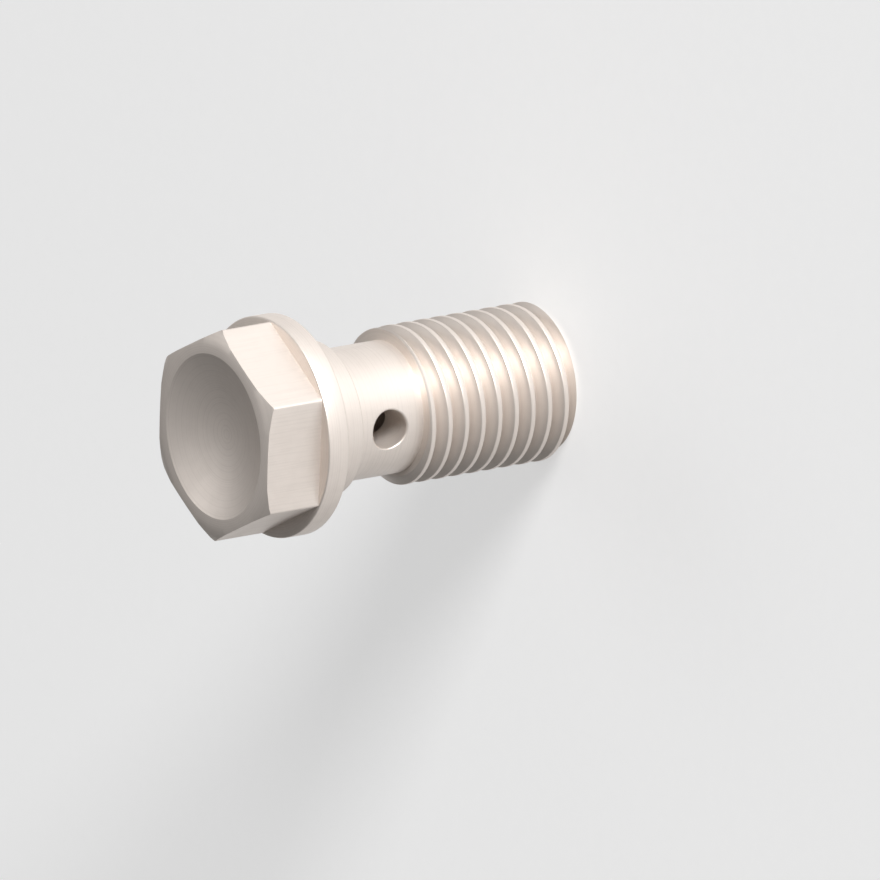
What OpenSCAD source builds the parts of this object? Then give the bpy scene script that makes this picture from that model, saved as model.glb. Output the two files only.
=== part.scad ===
// Banjo bolt, M10 x 1.25, turned from one hexagon bar. It stands on its threaded end,
// with the head up. The origin is the middle of that end. X runs along the cross hole.

/* [Head] */
// Width of the hexagon across its flats
hex_af = 12; // [11.75:0.25:12]
// Height of the hexagon above the flange
hex_h = 4; // [2.5:0.25:10]
// Diameter of the flat ring that is left on top of the head
face_d = 11.5; // [11:0.25:11.75]
// Radius that rounds the top of the hexagon's corners
corner_r = 2; // [1.5:0.25:2.5]
// Diameter of the dish in the head, at its rim
dish_d = 10.5; // [6:0.25:10.75]
// Depth of the dish at its middle
dish_depth = 1; // [0.25:0.25:2]

/* [Flange, collar and neck] */
// Diameter of the flange, which presses on the joint
flange_d = 14; // [14:0.25:18]
// Thickness of the flange
flange_h = 1.5; // [1:0.25:4]
// Diameter of the collar that centres the fitting's eye
collar_d = 9.9; // [9:0.1:11]
// Height of the collar
collar_h = 2.5; // [1:0.25:6]
// Diameter of the neck, which leaves the oil its way round
neck_d = 8.4; // [7:0.1:8.9]
// Height of the neck
neck_h = 5; // [3.5:0.25:12]

/* [Thread] */
// Outer diameter of the thread
thread_d = 10; // [9.5:0.25:12]
// Pitch of the thread
pitch = 1.25; // [1:0.25:1.5]
// Length of the thread, from the neck to the end of the bolt
thread_l = 11.5; // [6:0.25:30]
// Angle between the thread's two flanks
thread_angle = 60; // [55:5:60]
// Slope of the chamfer on the threaded end, measured from the end face
end_chamfer_angle = 30; // [15:5:45]

/* [Oil way] */
// Diameter of the bore that comes in from the threaded end
bore_d = 3.5; // [2:0.25:5]
// How far the full bore runs on past the cross hole's centre
bore_past = 1.5; // [1.5:0.25:2.5]
// Width of the small chamfer at the bore's mouth
bore_chamfer = 0.3; // [0.1:0.1:0.5]
// Diameter of the hole across the neck
cross_d = 2.5; // [1.5:0.25:3]

/* [Hidden] */
// Share of the pitch that stays flat on the thread's crest
crest_share = 0.25;
// Depth of a metric thread as a share of its pitch
depth_share = 0.61343;
// Point angle of the drill that made the bore
drill_angle = 118;
// How far a cutting shape stands out of what it cuts
clear = 0.1;
// Flat steps in one turn of the thread's groove. With 36, no step ends just where the
// groove's edge runs out of the thread, which would leave a sliver.
groove_steps = 36;
// Smoothness of everything round
$fn = 96;

hex_sides = 6;
thread_r = thread_d / 2;
thread_depth = depth_share * pitch;
root_r = thread_r - thread_depth;
crest_w = crest_share * pitch;

// Heights of the shoulders above the threaded end
neck_z = thread_l;
collar_z = neck_z + neck_h;
flange_z = collar_z + collar_h;
hex_z = flange_z + flange_h;
head_z = hex_z + hex_h;
cross_z = neck_z + neck_h / 2;

// Hexagon with its flats across X, so that the cross hole comes out under a flat
module hexagon_bar() {
  linear_extrude(hex_h)
    rotate(180 / hex_sides)
      circle(d = hex_af / cos(180 / hex_sides), $fn = hex_sides);
}

// Turned form that the hexagon stays inside: a flat ring, then a round shoulder
module head_form() {
  rotate_extrude() {
    square([face_d / 2, hex_h]);
    square([face_d / 2 + corner_r, hex_h - corner_r]);
    translate([face_d / 2, hex_h - corner_r])
      intersection() {
        circle(r = corner_r);
        square(corner_r);
      }
  }
}

// Shallow dish, part of a sphere that cuts the head's face in the rim circle
module dish() {
  sphere_r = (pow(dish_d / 2, 2) + pow(dish_depth, 2)) / (2 * dish_depth);
  translate([0, 0, head_z + sphere_r - dish_depth])
    sphere(r = sphere_r);
}

module head() {
  translate([0, 0, hex_z])
    intersection() {
      hexagon_bar();
      head_form();
    }
}

module flange() {
  translate([0, 0, flange_z])
    cylinder(d = flange_d, h = flange_h);
}

module collar() {
  translate([0, 0, collar_z])
    cylinder(d = collar_d, h = collar_h);
}

module neck() {
  translate([0, 0, neck_z])
    cylinder(d = neck_d, h = neck_h);
}

// Plain rod for the thread, with a cone at its end that reaches below the thread's root
module thread_blank() {
  end_r = root_r - clear;
  chamfer_h = (thread_r - end_r) * tan(end_chamfer_angle);
  cylinder(r1 = end_r, r2 = thread_r, h = chamfer_h);
  translate([0, 0, chamfer_h])
    cylinder(r = thread_r, h = thread_l - chamfer_h);
}

// Half the width of the groove at a given radius
function groove_half(r) = (pitch - crest_w) / 2 - (thread_r - r) * tan(thread_angle / 2);

// One section of the groove: root and open side, at an angle round the bolt
function groove_section(angle) =
  let (
    open_r = thread_r + clear,
    middle = pitch * (angle / 360 - 1 / 2)
  )
  [for (corner = [[root_r, -1], [open_r, -1], [open_r, 1], [root_r, 1]])
    [
      corner[0] * cos(angle),
      corner[0] * sin(angle),
      middle + corner[1] * groove_half(corner[0])
    ]
  ];

// Right-hand V groove, one closed strip that runs out past both ends of the thread
module thread_groove() {
  turns = thread_l / pitch + 2;
  last = ceil(turns * groove_steps);
  points = [for (i = [0:last]) each groove_section(i * 360 / groove_steps)];
  sides = [for (i = [0:last - 1], k = [0:3])
    let (next = (k + 1) % 4)
    each [
      [4 * i + k, 4 * i + 4 + next, 4 * i + next],
      [4 * i + k, 4 * i + 4 + k, 4 * i + 4 + next]
    ]
  ];
  ends = [
    [3, 2, 1, 0],
    [4 * last, 4 * last + 1, 4 * last + 2, 4 * last + 3]
  ];
  polyhedron(points, concat(sides, ends), convexity = 10);
}

module thread() {
  difference() {
    thread_blank();
    thread_groove();
  }
}

// Blind bore from the threaded end, with a chamfered mouth and the drill's point
module oil_bore() {
  bore_l = cross_z + bore_past;
  point_h = bore_d / 2 / tan(drill_angle / 2);
  mouth_d = bore_d + 2 * bore_chamfer;
  translate([0, 0, -clear])
    cylinder(d = bore_d, h = bore_l + clear);
  translate([0, 0, bore_l])
    cylinder(d1 = bore_d, d2 = 0, h = point_h);
  translate([0, 0, -clear])
    cylinder(d1 = mouth_d + 2 * clear, d2 = bore_d, h = bore_chamfer + clear);
}

// Drilled right through the neck, into the bore and out of the other side
module cross_hole() {
  translate([0, 0, cross_z])
    rotate([0, 90, 0])
      cylinder(d = cross_d, h = neck_d + 2 * clear, center = true);
}

module banjo_bolt() {
  color([0.86, 0.83, 0.80])
    difference() {
      union() {
        thread();
        neck();
        collar();
        flange();
        head();
      }
      dish();
      oil_bore();
      cross_hole();
    }
}

banjo_bolt();
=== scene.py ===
# %% [markdown]
# # A banjo bolt, from turned outline to plated steel
#
# A banjo bolt is a screw and a pipe in one. Fluid comes in at the threaded end, runs up a
# bore and leaves through a cross hole in the neck. The real one is turned from a hexagon
# bar, threaded, drilled twice, deburred and plated. This script makes it in that order,
# as one closed mesh, because the real bolt is one piece of metal. The solid from the CAD
# has the same sizes but flat steps in its thread and no deburred edges.

import math

import bmesh
import bpy
from mathutils import Matrix, Vector


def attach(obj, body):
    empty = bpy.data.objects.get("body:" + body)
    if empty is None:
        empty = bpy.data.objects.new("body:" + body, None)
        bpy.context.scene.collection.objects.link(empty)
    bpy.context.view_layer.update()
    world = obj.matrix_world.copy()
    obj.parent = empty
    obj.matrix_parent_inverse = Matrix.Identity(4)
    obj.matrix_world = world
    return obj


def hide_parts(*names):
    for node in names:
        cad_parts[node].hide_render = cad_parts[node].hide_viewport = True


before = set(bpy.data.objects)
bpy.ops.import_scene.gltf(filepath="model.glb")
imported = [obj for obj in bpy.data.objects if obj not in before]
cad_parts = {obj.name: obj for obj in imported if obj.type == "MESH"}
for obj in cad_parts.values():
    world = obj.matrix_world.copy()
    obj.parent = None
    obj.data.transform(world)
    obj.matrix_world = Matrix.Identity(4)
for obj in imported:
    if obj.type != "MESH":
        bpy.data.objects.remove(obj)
bpy.context.view_layer.update()

# %% [markdown]
# ## Sizes
#
# The bolt's sizes are those of the CAD, in millimetres. Only the broken edges come on top.
# The bolt stands on its threaded end, its axis is Z, and the cross hole runs along X. A
# mesh is shaped in millimetres and scaled to metres only at the end: bevels and merges work
# to a fixed tolerance, which is fine for a bolt of 24 units and too coarse for one of 0.024.

# %% Sizes in millimetres
HEX_AF = 12.0
HEX_SIDES = 6
FACE_D = 11.5
CORNER_R = 2.0
DISH_D = 10.5
DISH_DEPTH = 1.0
FLANGE_D = 14.0
COLLAR_D = 9.9
NECK_D = 8.4
THREAD_D = 10.0
PITCH = 1.25
DEPTH_SHARE = 0.61343
ROOT_R = THREAD_D / 2 - DEPTH_SHARE * PITCH
END_R = ROOT_R - 0.1
BORE_D = 3.5
BORE_CHAMFER = 0.3
CROSS_D = 2.5

NECK_Z = 11.5
COLLAR_Z = 16.5
FLANGE_Z = 19.0
HEX_Z = 20.5
HEAD_Z = 24.5
CROSS_Z = 14.0
BORE_END_Z = 15.5

EDGE_BREAK = 0.1
ROUND_STEPS = 6
SPIN_STEPS = 192
DISH_STEPS = 16
DRILL_STEPS = 96
SINK = 0.4
METRES = 0.001

# %% [markdown]
# ## Turning: an outline and a spin
#
# A lathe moves a tool along an outline while the bar turns. Blender's spin does the same
# with a chain of edges. The outline needs only its corners. A bevel of single corners then
# breaks the sharp ones, as the turner does with a touch of the tool, so no point of an arc
# is worked out by hand.

# %% Outline and lathe helpers
def in_plane(r, z):
    return Vector((r, 0, z))


def outline(corners):
    """A chain of edges in the plane y = 0. A corner is (r, z) or (r, z, how far it is rounded)."""
    bm = bmesh.new()
    verts = [bm.verts.new(in_plane(c[0], c[1])) for c in corners]
    for a, b in zip(verts, verts[1:]):
        bm.edges.new((a, b))
    for vert, corner in zip(verts, corners):
        if len(corner) == 3:
            bmesh.ops.bevel(
                bm, geom=[vert], offset=corner[2], offset_type="OFFSET",
                segments=ROUND_STEPS, profile=0.5, affect="VERTICES", material=-1,
            )
    return bm


def close_up(bm):
    bmesh.ops.remove_doubles(bm, verts=bm.verts, dist=1e-4)
    bmesh.ops.recalc_face_normals(bm, faces=bm.faces)


def turn(bm, steps=SPIN_STEPS):
    """Spins an outline that starts and ends on the axis into a closed solid."""
    bmesh.ops.spin(
        bm, geom=bm.verts[:] + bm.edges[:], cent=(0, 0, 0), axis=(0, 0, 1),
        dvec=(0, 0, 0), angle=2 * math.pi, steps=steps,
        use_merge=True, use_duplicate=False,
    )
    close_up(bm)
    return bm


def slice_off(bm, point, facing):
    """Cuts off what lies beyond a plane and closes the cut."""
    cut = bmesh.ops.bisect_plane(
        bm, geom=bm.verts[:] + bm.edges[:] + bm.faces[:], dist=1e-5,
        plane_co=point, plane_no=facing, clear_outer=True,
    )
    rim = [e for e in cut["geom_cut"] if isinstance(e, bmesh.types.BMEdge)]
    bmesh.ops.edgeloop_fill(bm, edges=rim)


def open_edges(bm):
    return sum(1 for e in bm.edges if len(e.link_faces) != 2)


def report(name, bm):
    print(f"{name}: {len(bm.faces)} faces, {open_edges(bm)} open edges, "
          f"{bm.calc_volume(signed=True):.1f} mm3")


# %% [markdown]
# ## Neck, collar and flange
#
# These three are plain turned steps. They are one outline, which starts inside the thread
# and ends inside the head, so that the later unions have something to bite into. Inner
# corners keep the radius of the tool's tip, outer ones are broken.

# %% Turn the neck, collar and flange
middle = turn(outline([
    (0, NECK_Z - SINK),
    (NECK_D / 2, NECK_Z - SINK),
    (NECK_D / 2, COLLAR_Z, EDGE_BREAK),
    (COLLAR_D / 2, COLLAR_Z, EDGE_BREAK),
    (COLLAR_D / 2, FLANGE_Z, EDGE_BREAK),
    (FLANGE_D / 2, FLANGE_Z, EDGE_BREAK),
    (FLANGE_D / 2, HEX_Z, EDGE_BREAK),
    (0, HEX_Z),
]))
report("middle", middle)

# %% [markdown]
# ## Head
#
# The head is first turned like the rest: a dish, which is part of a sphere, a flat ring
# round it, and a shoulder with a radius of 2 mm. The arc of the dish is a single point
# spun about the sphere's centre. Then six planes cut the hexagon, which leaves the curved
# tops of the flats just as on a bar that is chamfered in the lathe. The flats are then the
# only faces that stand upright, so they are easy to find. The corners between them get a
# small bevel of their own.

# %% Turn the head and cut its flats
dish_r = ((DISH_D / 2) ** 2 + DISH_DEPTH ** 2) / (2 * DISH_DEPTH)
dish_centre = in_plane(0, HEAD_Z - DISH_DEPTH + dish_r)
dish_angle = math.asin(DISH_D / 2 / dish_r)
shoulder_r = FACE_D / 2 + CORNER_R

head = outline([
    (0, HEX_Z - SINK),
    (shoulder_r, HEX_Z - SINK),
    (shoulder_r, HEAD_Z, CORNER_R),
    (DISH_D / 2, HEAD_Z),
])
bowl = head.verts.new(in_plane(0, HEAD_Z - DISH_DEPTH))
bmesh.ops.spin(
    head, geom=[bowl], cent=dish_centre, axis=(0, -1, 0), dvec=(0, 0, 0),
    angle=dish_angle, steps=DISH_STEPS, use_merge=False, use_duplicate=False,
)
bmesh.ops.remove_doubles(head, verts=head.verts, dist=1e-3)
turn(head)
report("turned head", head)

for side in range(HEX_SIDES):
    facing = Matrix.Rotation(side * 2 * math.pi / HEX_SIDES, 3, "Z") @ Vector((1, 0, 0))
    slice_off(head, facing * HEX_AF / 2, facing)
bmesh.ops.recalc_face_normals(head, faces=head.faces)
report("hexagon head", head)


# %% Break the head's upright corners
def stands(face):
    return abs(face.normal.z) < 0.01


uprights = [e for e in head.edges if all(stands(f) for f in e.link_faces)]
bmesh.ops.bevel(
    head, geom=uprights, offset=EDGE_BREAK, offset_type="OFFSET",
    segments=ROUND_STEPS, profile=0.5, affect="EDGES", material=-1,
)
for face in head.faces:
    if stands(face):
        face.material_index = 1
report("broken corners", head)

# %% [markdown]
# ## Thread
#
# A thread is one pitch of an outline, crest and groove, that climbs as it turns. The spin
# operator has an offset for each step, so the same lathe cuts it: after one whole turn the
# outline has climbed by one pitch. Copies of that turn, each a pitch higher, fit on to one
# another border to border, and merging the borders joins them. Copying one turn is much
# quicker than spinning all of them. Two planes then cut the rod to length.
#
# It is a right-hand thread, which climbs with a turn to the left seen from the head. The
# crest is an eighth of the pitch wide to either side, the flanks stand at 60 degrees to
# each other, and the edges have the small roundings of a rolled thread.

# %% Spin the thread
TURN_STEPS = 96
TURNS = 12
CREST_HALF = PITCH / 8
FLANK_ANGLE = math.radians(30)
FLANK = (THREAD_D / 2 - ROOT_R) * math.tan(FLANK_ANGLE)
CREST_ROUND = 0.05
ROOT_ROUND = 0.02

low = -2 * PITCH
rod = outline([
    (THREAD_D / 2, low),
    (THREAD_D / 2, low + CREST_HALF, CREST_ROUND),
    (ROOT_R, low + CREST_HALF + FLANK, ROOT_ROUND),
    (ROOT_R, low + PITCH - CREST_HALF - FLANK, ROOT_ROUND),
    (THREAD_D / 2, low + PITCH - CREST_HALF, CREST_ROUND),
    (THREAD_D / 2, low + PITCH),
])
bmesh.ops.spin(
    rod, geom=rod.verts[:] + rod.edges[:], cent=(0, 0, 0), axis=(0, 0, 1),
    dvec=(0, 0, PITCH / TURN_STEPS), angle=2 * math.pi, steps=TURN_STEPS,
    use_merge=False, use_duplicate=False,
)
one_turn = rod.verts[:] + rod.edges[:] + rod.faces[:]
for climb in range(1, TURNS):
    copy = bmesh.ops.duplicate(rod, geom=one_turn)["geom"]
    copied_verts = [v for v in copy if isinstance(v, bmesh.types.BMVert)]
    bmesh.ops.translate(rod, vec=(0, 0, climb * PITCH), verts=copied_verts)
bmesh.ops.remove_doubles(rod, verts=rod.verts, dist=1e-4)
slice_off(rod, (0, 0, -SINK), (0, 0, -1))
slice_off(rod, (0, 0, NECK_Z + SINK), (0, 0, 1))
bmesh.ops.recalc_face_normals(rod, faces=rod.faces)
report("threaded rod", rod)

# %% [markdown]
# ## The blank that the thread is cut on
#
# A real thread starts on a blank with chamfered ends, which lets the nut find its way. The
# blank is turned as a plain solid a little thicker than the thread. What both have in
# common is the threaded shank, with its chamfer of 30 degrees at the free end, and at the
# neck the groove simply runs out through the end face.

# %% Turn the blank
CLEAR = 0.05
END_CHAMFER = math.radians(30)
blank_r = THREAD_D / 2 + CLEAR
blank = turn(outline([
    (0, 0),
    (END_R, 0, EDGE_BREAK),
    (blank_r, (blank_r - END_R) * math.tan(END_CHAMFER)),
    (blank_r, NECK_Z - EDGE_BREAK - CLEAR),
    (THREAD_D / 2 - EDGE_BREAK, NECK_Z),
    (0, NECK_Z),
]))
report("blank", blank)

# %% [markdown]
# ## Drills
#
# The two drills are solids too. The long one has the usual point of 118 degrees and a
# small flare for the chamfer at the bore's mouth. The cross drill flares at both mouths,
# because the burr there is brushed off. The neck is round, so that flare follows it: its
# rings start flat and are then pushed back by the depth of the neck's curve at their
# place, which keeps the rounding even all the way round the hole. Past the flare the drill
# runs on for a millimetre. An end that lay close to the neck would leave slivers of its
# skin in the mouth.

# %% Make the long drill
DRILL_ANGLE = 118
bore_r = BORE_D / 2
point_h = bore_r / math.tan(math.radians(DRILL_ANGLE / 2))
long_drill = turn(outline([
    (0, BORE_END_Z + point_h),
    (bore_r, BORE_END_Z),
    (bore_r, BORE_CHAMFER),
    (bore_r + 2 * BORE_CHAMFER, -BORE_CHAMFER),
    (0, -BORE_CHAMFER),
]), steps=DRILL_STEPS)
report("long drill", long_drill)

# %% Make the cross drill
DEBURR = 0.15
PAST_NECK = 1.0
neck_r = NECK_D / 2
cross_r = CROSS_D / 2
cross_drill = bmesh.new()
bmesh.ops.create_circle(
    cross_drill, segments=DRILL_STEPS, radius=cross_r,
    matrix=Matrix.Rotation(math.pi / 2, 4, "Y"),
)
ring = cross_drill.edges[:]
quarter = [math.pi / 2 * k / ROUND_STEPS for k in range(ROUND_STEPS + 1)]
stations = [
    (neck_r - DEBURR * (1 - math.sin(t)), cross_r + DEBURR * (1 - math.cos(t))) for t in quarter
]
stations.append((neck_r + PAST_NECK, cross_r + DEBURR))
was = (0, cross_r)
for reach, radius in stations:
    new = bmesh.ops.extrude_edge_only(cross_drill, edges=ring)["geom"]
    ring = [e for e in new if isinstance(e, bmesh.types.BMEdge)]
    loop = [v for v in new if isinstance(v, bmesh.types.BMVert)]
    bmesh.ops.scale(cross_drill, vec=(1, radius / was[1], radius / was[1]), verts=loop)
    bmesh.ops.translate(cross_drill, vec=(reach - was[0], 0, 0), verts=loop)
    was = (reach, radius)
for vert in cross_drill.verts:
    if vert.co.x > cross_r:
        vert.co.x -= neck_r - math.sqrt(neck_r ** 2 - vert.co.y ** 2)
bmesh.ops.edgeloop_fill(cross_drill, edges=ring)
bmesh.ops.mirror(
    cross_drill, geom=cross_drill.verts[:] + cross_drill.edges[:] + cross_drill.faces[:],
    axis="X", merge_dist=1e-4,
)
close_up(cross_drill)
bmesh.ops.translate(cross_drill, vec=(0, 0, CROSS_Z), verts=cross_drill.verts)
report("cross drill", cross_drill)

# %% [markdown]
# ## Names for the finishes
#
# The bolt has one plating, which lies on four kinds of surface: turned, drawn, rolled and
# drilled. A boolean gives each face the material of the solid that the face came from, so
# every solid needs its finish before the solids meet. Here the finishes are only named.
# Their nodes follow once the shape is done.

# %% Name the finishes
turned = bpy.data.materials.new("plated_turned")
drawn = bpy.data.materials.new("plated_drawn_flat")
rolled = bpy.data.materials.new("plated_thread")
drilled = bpy.data.materials.new("plated_drilled")

# %% [markdown]
# ## One piece of metal
#
# The booleans do what the machines did. Rod and blank keep what they share, the middle and
# the head are joined on, and the two drills are cut out. The exact solver is the slow one,
# but it copes with walls that almost touch, as the neck's and the thread's root do. Each
# tool's solid is deleted as soon as it has done its work.

# %% Put the solids together
def as_object(name, bm, *finishes):
    mesh = bpy.data.meshes.new(name)
    bm.to_mesh(mesh)
    bm.free()
    for finish in finishes:
        mesh.materials.append(finish)
    obj = bpy.data.objects.new(name, mesh)
    bpy.context.scene.collection.objects.link(obj)
    return obj


def work(piece, tool, operation):
    """Joins a tool's solid to the piece, cuts it away or keeps what both share."""
    step = piece.modifiers.new("step", "BOOLEAN")
    step.operation = operation
    step.solver = "EXACT"
    step.material_mode = "TRANSFER"
    step.object = tool
    graph = bpy.context.evaluated_depsgraph_get()
    shaped = bpy.data.meshes.new_from_object(piece.evaluated_get(graph))
    piece.modifiers.clear()
    piece.data = shaped
    bpy.data.objects.remove(tool)
    print(f"{operation.lower()}: {len(shaped.polygons)} faces")


bolt = as_object("plated_bolt", rod, rolled)
work(bolt, as_object("blank", blank, turned), "INTERSECT")
work(bolt, as_object("middle", middle, turned), "UNION")
work(bolt, as_object("head", head, turned, drawn), "UNION")
work(bolt, as_object("long_drill", long_drill, drilled), "DIFFERENCE")
work(bolt, as_object("cross_drill", cross_drill, drilled), "DIFFERENCE")

# %% [markdown]
# ## Clean and in metres
#
# Booleans leave some points that lie closer together than any tool could cut, and slivers
# without area between them. They are merged and dissolved, and the count of open edges
# shows that the mesh stays closed. Booleans also give the points in no fixed order, and
# merging depends on it, so the points are sorted by their place first. Then every run merges
# the same ones. What still varies from run to run is the order of the faces, how a few tiny
# ones are split, and now and then the last digit of a point. The bolt is scaled to metres
# and shaded smooth, with every edge of more than 20 degrees kept sharp, so that steps stay
# crisp and rounded edges round.

# %% Clean, scale and shade the bolt
SHARP_FROM = 20
MERGE_WITHIN = 1e-3
SLIVER_BELOW = 1e-4
final = bmesh.new()
final.from_mesh(bolt.data)
final.verts.sort(key=lambda vert: vert.co.dot(Vector((1, 1e3, 1e6))))
bmesh.ops.remove_doubles(final, verts=final.verts, dist=MERGE_WITHIN)
bmesh.ops.dissolve_degenerate(final, edges=final.edges, dist=SLIVER_BELOW)
report("bolt", final)
bmesh.ops.scale(final, vec=(METRES, METRES, METRES), verts=final.verts)
final.to_mesh(bolt.data)
final.free()
bolt.data.shade_smooth()
bolt.data.set_sharp_from_angle(angle=math.radians(SHARP_FROM))

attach(bolt, "root")
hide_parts("banjo_bolt")

# %% [markdown]
# ## Shader maths in Python
#
# The finishes below need sums, such as the distance from the bolt's axis. A Signal wraps a
# socket, and Python's operators on it add the Math nodes, so a formula reads as a formula.
# A Finish is one material. Its `node` method makes any other node: first the node's
# settings, then the values or links of its sockets.

# %% Signal and Finish
class Signal:
    def __init__(self, finish, socket):
        self.finish = finish
        self.socket = socket

    def math(self, operation, *numbers):
        return self.finish.node("Math", {"operation": operation}, dict(enumerate(numbers)))

    def __add__(self, other):
        return self.math("ADD", self, other)

    def __sub__(self, other):
        return self.math("SUBTRACT", self, other)

    def __rsub__(self, other):
        return self.math("SUBTRACT", other, self)

    def __mul__(self, other):
        return self.math("MULTIPLY", self, other)

    def __truediv__(self, other):
        return self.math("DIVIDE", self, other)

    __radd__ = __add__
    __rmul__ = __mul__

    def root(self):
        return self.math("SQRT", self)

    def fraction(self):
        return self.math("FRACT", self)

    def angle_from(self, other):
        return self.math("ARCTAN2", self, other)

    def either(self, other):
        return self.math("MAXIMUM", self, other)

    def out(self, name):
        """Another output of the node that this signal comes from."""
        return Signal(self.finish, self.socket.node.outputs[name])

    def between(self, low, high):
        """0 below low, 1 above high, and a soft step between them."""
        return self.finish.node(
            "MapRange", {"interpolation_type": "SMOOTHSTEP"},
            {"Value": self, "From Min": low, "From Max": high},
        )


class Finish:
    def __init__(self, material):
        material.use_nodes = True
        self.material = material
        self.tree = material.node_tree
        self.tree.nodes.clear()

    def node(self, kind, settings, inputs, output=0):
        made = self.tree.nodes.new("ShaderNode" + kind)
        for name, value in settings.items():
            setattr(made, name, value)
        for name, value in inputs.items():
            if isinstance(value, Signal):
                self.tree.links.new(value.socket, made.inputs[name])
            else:
                made.inputs[name].default_value = value
        if output is not None:
            return Signal(self, made.outputs[output])

    def mixed(self, share, a, b):
        """A colour between a and b. A Mix node has its colours on sockets 6, 7 and output 2."""
        return self.node("Mix", {"data_type": "RGBA"}, {0: share, 6: a, 7: b}, output=2)

    def surface(self, sockets):
        """Ends the tree: one Principled shader, with these sockets set, and the output."""
        shader = self.node("BsdfPrincipled", {}, sockets)
        self.node("OutputMaterial", {}, {"Surface": shader}, output=None)
        print(f"{self.material.name}: {len(self.tree.nodes)} nodes")


# %% [markdown]
# ## Plated steel
#
# The real bolt has one plating all over, a pale, slightly warm and satin one. What differs
# is the surface below it, so one function makes every finish and takes the marks as a
# choice. Three layers lie over one another: fine marks of the tool, a soft cloudiness, and
# a fine grain. The marks and the clouds change the tone and the roughness a little, and
# the marks and the grain make the relief. The thread's root and the drilled holes get a
# painted shade: their colour is darkened where shade falls in these recesses. A clear film
# protects the zinc and scatters part of the light, so the plating is not fully metallic.
# Everything is worked out from the place on the bolt in millimetres, so the marks have
# their real size.

# %% The plating
PALE = (0.77, 0.70, 0.645, 1)
# The darker colour below serves the clouds and the marks, and also the painted shade in the
# thread's root and the holes.
DARK_TONE_AND_PAINTED_SHADE = (0.60, 0.54, 0.495, 1)
METALLIC = 0.8
CLOUDS_PER_MM = 0.9
GRAIN_PER_MM = 11
CLOUD_SHADE = 0.15
MARK_SHADE = 0.2
UNEVEN = 0.1
PAINTED_SHADE_FADE = 0.5


def plating(material, marks, mark_depth, rough, painted_recess_shade=0.0):
    """Builds a finish. marks(place) gives the number along which the tool's marks change."""
    finish = Finish(material)
    spot = finish.node("TexCoord", {}, {}, output="Object")
    in_mm = finish.node("VectorMath", {"operation": "SCALE"}, {0: spot, "Scale": 1000})
    parts = finish.node("SeparateXYZ", {}, {0: in_mm})
    x, y, z = (parts.out(axis) for axis in "XYZ")
    radius = (x * x + y * y).root()

    lines = marks(finish, x, y, z, radius)
    clouds = finish.node("TexNoise", {}, {"Vector": in_mm, "Scale": CLOUDS_PER_MM, "Detail": 4})
    grain = finish.node("TexNoise", {}, {"Vector": in_mm, "Scale": GRAIN_PER_MM, "Detail": 2})

    # Painted shade: the colour darkens in the thread's root and in the drilled holes, where shade
    # falls in the recesses.
    painted_recess_shade_mask = 1 - radius.between(ROOT_R, ROOT_R + PAINTED_SHADE_FADE)
    tone_and_painted_shade = (
        clouds.between(0.35, 0.7) * CLOUD_SHADE
        + lines.between(0.45, 0.7) * MARK_SHADE
        + painted_recess_shade_mask * painted_recess_shade
    )
    height = lines * 0.7 + grain * 0.3
    finish.surface({
        "Base Color": finish.mixed(tone_and_painted_shade, PALE, DARK_TONE_AND_PAINTED_SHADE),
        "Metallic": METALLIC,
        "Roughness": rough + (clouds - 0.5) * UNEVEN + (lines - 0.5) * UNEVEN,
        "Normal": finish.node("Bump", {}, {
            "Strength": 1.0, "Distance": mark_depth * METRES, "Height": height,
        }),
    })


# %% [markdown]
# ## Marks of the tools
#
# A turning tool leaves rings. On a wall they follow one another along the axis, and on a
# face they grow outwards, so the sum of height and radius changes across the rings on
# both, and on the dish and the chamfers too. A drawn bar has fine lines along its length,
# which is noise that is stretched along Z. On the thread the marks run along the helix:
# the height less the climb for that angle is the same all along one mark.

# %% Marks and finishes
LINES_PER_MM = 7
HELIX_LINES_PER_MM = 6
LINES_ALONG_MM = 0.25


def rings(finish, x, y, z, radius):
    return finish.node(
        "TexNoise", {"noise_dimensions": "1D"},
        {"W": z + radius, "Scale": LINES_PER_MM, "Detail": 3},
    )


def drawn_lines(finish, x, y, z, radius):
    stretched = finish.node(
        "CombineXYZ", {}, {0: x * LINES_PER_MM, 1: y * LINES_PER_MM, 2: z * LINES_ALONG_MM}
    )
    return finish.node("TexNoise", {}, {"Vector": stretched, "Scale": 1.0, "Detail": 3})


def helix_lines(finish, x, y, z, radius):
    turn_share = y.angle_from(x) / (2 * math.pi)
    in_pitch = (z / PITCH - turn_share + 0.5).fraction() * PITCH
    return finish.node(
        "TexNoise", {"noise_dimensions": "1D"},
        {"W": in_pitch, "Scale": HELIX_LINES_PER_MM, "Detail": 2},
    )


plating(turned, rings, mark_depth=0.002, rough=0.48)
plating(drawn, drawn_lines, mark_depth=0.002, rough=0.5)
# The last argument sets the painted shade in the thread's root and in the drilled holes, the
# thread's the stronger.
plating(rolled, helix_lines, mark_depth=0.001, rough=0.46, painted_recess_shade=0.6)
plating(drilled, rings, mark_depth=0.003, rough=0.5, painted_recess_shade=0.3)

# %% [markdown]
# ## Floor
#
# The bolt stands on a plain pale floor. A floor that only the lamps make pale would need so
# much light that the plating would clip to white. So the floor is mid grey, and the rest of
# its brightness is a glow. The Light Path node gives the glow to rays from the camera, and
# to glossy and transmitted ones, so that the plating mirrors the same pale floor. Diffuse
# rays don't see it, so it lights nothing. The grey keeps the bolt's shadow.
#
# A low camera that is orthographic starts its lowest rays under the floor. A second sheet
# lies there, which glows as pale as the lit floor looks, and has no other use.

# %% Floor
SHEET_HALF = 3
SPECKS_PER_M = 900


def level(value):
    return (value, value, value, 1)


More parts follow.
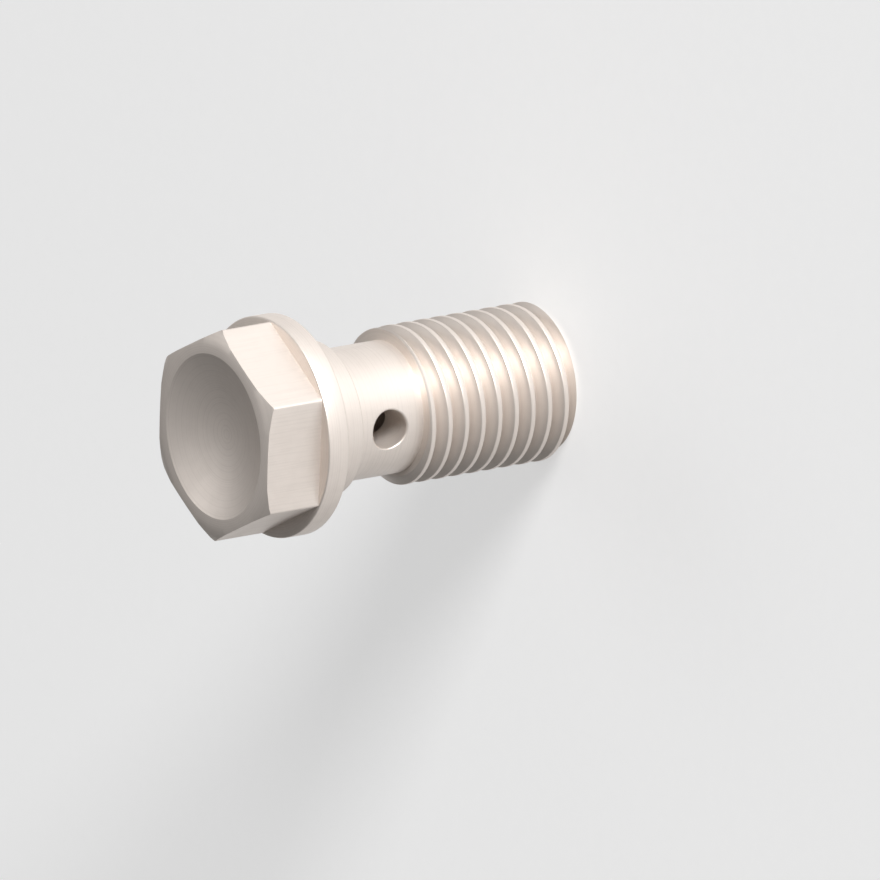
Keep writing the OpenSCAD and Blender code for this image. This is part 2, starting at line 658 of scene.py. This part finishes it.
def pale_sheet(name, height, grey, glow):
    """A wide flat sheet that takes shadows with its grey and glows for what sees it directly."""
    bm = bmesh.new()
    bmesh.ops.create_grid(bm, x_segments=1, y_segments=1, size=SHEET_HALF)
    bmesh.ops.translate(bm, vec=(0, 0, height), verts=bm.verts)
    sheet = as_object(name, bm, bpy.data.materials.new(name))
    paint = Finish(sheet.data.materials[0])
    spot = paint.node("TexCoord", {}, {}, output="Object")
    speck = paint.node("TexNoise", {}, {"Vector": spot, "Scale": SPECKS_PER_M, "Detail": 2})
    ray = paint.node("LightPath", {}, {}, output="Is Camera Ray")
    seen = ray.either(ray.out("Is Glossy Ray")).either(ray.out("Is Transmission Ray"))
    paint.surface({
        "Base Color": paint.mixed(speck, level(grey - 0.01), level(grey + 0.01)),
        "Roughness": 0.9,
        "Specular IOR Level": 0.1,
        "Emission Color": paint.mixed(seen, level(0), level(glow)),
        "Emission Strength": 1.0,
    })


pale_sheet("floor", height=0, grey=0.46, glow=0.50)
pale_sheet("under_floor", height=-0.03, grey=0.1, glow=0.78)

# %% [markdown]
# ## Camera
#
# The drawing that the bolt is made from has no perspective, so the camera is orthographic
# too. Its direction, its roll and its scale were worked out from the ellipses in the
# drawing: it looks down at 33 degrees, and it is rolled until the bolt lies on its side in
# the picture, head to the left.

# %% Camera
PIXELS = 880
PIXELS_PER_MM = 16.04
HEAD_PIXEL = (213.39, 436.58)
VIEW_AZIMUTH = 21.25
VIEW_ELEVATION = 32.85
VIEW_ROLL = -99.9
CAMERA_AWAY = 0.2


def direction(azimuth, elevation):
    a, e = math.radians(azimuth), math.radians(elevation)
    return Vector((math.cos(e) * math.cos(a), math.cos(e) * math.sin(a), math.sin(e)))


def towards(way):
    """The rotation of a lamp or a camera that stands that way from the bolt and faces it."""
    return way.to_track_quat("Z", "Y").to_matrix()


back = direction(VIEW_AZIMUTH, VIEW_ELEVATION)
rolled_camera = towards(back) @ Matrix.Rotation(math.radians(VIEW_ROLL), 3, "Z")
right, up = rolled_camera.col[0], rolled_camera.col[1]
middle_of_view = (
    Vector((0, 0, HEAD_Z))
    + right * (PIXELS / 2 - HEAD_PIXEL[0]) / PIXELS_PER_MM
    - up * (PIXELS / 2 - HEAD_PIXEL[1]) / PIXELS_PER_MM
) * METRES
lens = bpy.data.cameras.new("camera")
lens.type = "ORTHO"
lens.ortho_scale = PIXELS / PIXELS_PER_MM * METRES
lens.clip_start, lens.clip_end = 0.001, 5
camera = bpy.data.objects.new("camera", lens)
camera.matrix_world = (
    Matrix.Translation(middle_of_view + back * CAMERA_AWAY) @ rolled_camera.to_4x4()
)
scene = bpy.context.scene
scene.collection.objects.link(camera)
scene.camera = camera
print("camera at", [round(v, 4) for v in camera.location])

# %% [markdown]
# ## Light
#
# The drawing is lit from one side, so that one flat is white, the next one pale and the
# third one grey. A softbox on that side is the key. It stands low, because a high one also
# lights every face that looks up, and the head's ring, the dish and the flange are grey in
# the drawing. A wide, weak one stands high behind the bolt. The dish mirrors it towards
# the camera, and the flats in the picture face away from it. The rest of the room is dim,
# because metal shows its form by what it mirrors. The lamps stand far off, so the floor is
# lit evenly.

# %% Lamps and room
def softbox(name, azimuth, elevation, watts, size=0.5, distance=1.4):
    way = direction(azimuth, elevation)
    light = bpy.data.lights.new(name, "AREA")
    light.shape = "DISK"
    light.size = size
    light.energy = watts
    lamp = bpy.data.objects.new(name, light)
    scene.collection.objects.link(lamp)
    aim = Vector((0, 0, HEAD_Z / 2)) * METRES
    lamp.matrix_world = Matrix.Translation(aim + way * distance) @ towards(way).to_4x4()


softbox("key", azimuth=51.5, elevation=11, watts=35.5)
softbox("behind", azimuth=165, elevation=50, watts=2.3, size=0.9)

room = bpy.data.worlds.new("room")
scene.world = room
room.use_nodes = True
backdrop = room.node_tree.nodes["Background"]
backdrop.inputs["Color"].default_value = (1, 1, 1, 1)
backdrop.inputs["Strength"].default_value = 0.20
scene.view_settings.view_transform = "Standard"

# %% Update the view layer
bpy.context.view_layer.update()
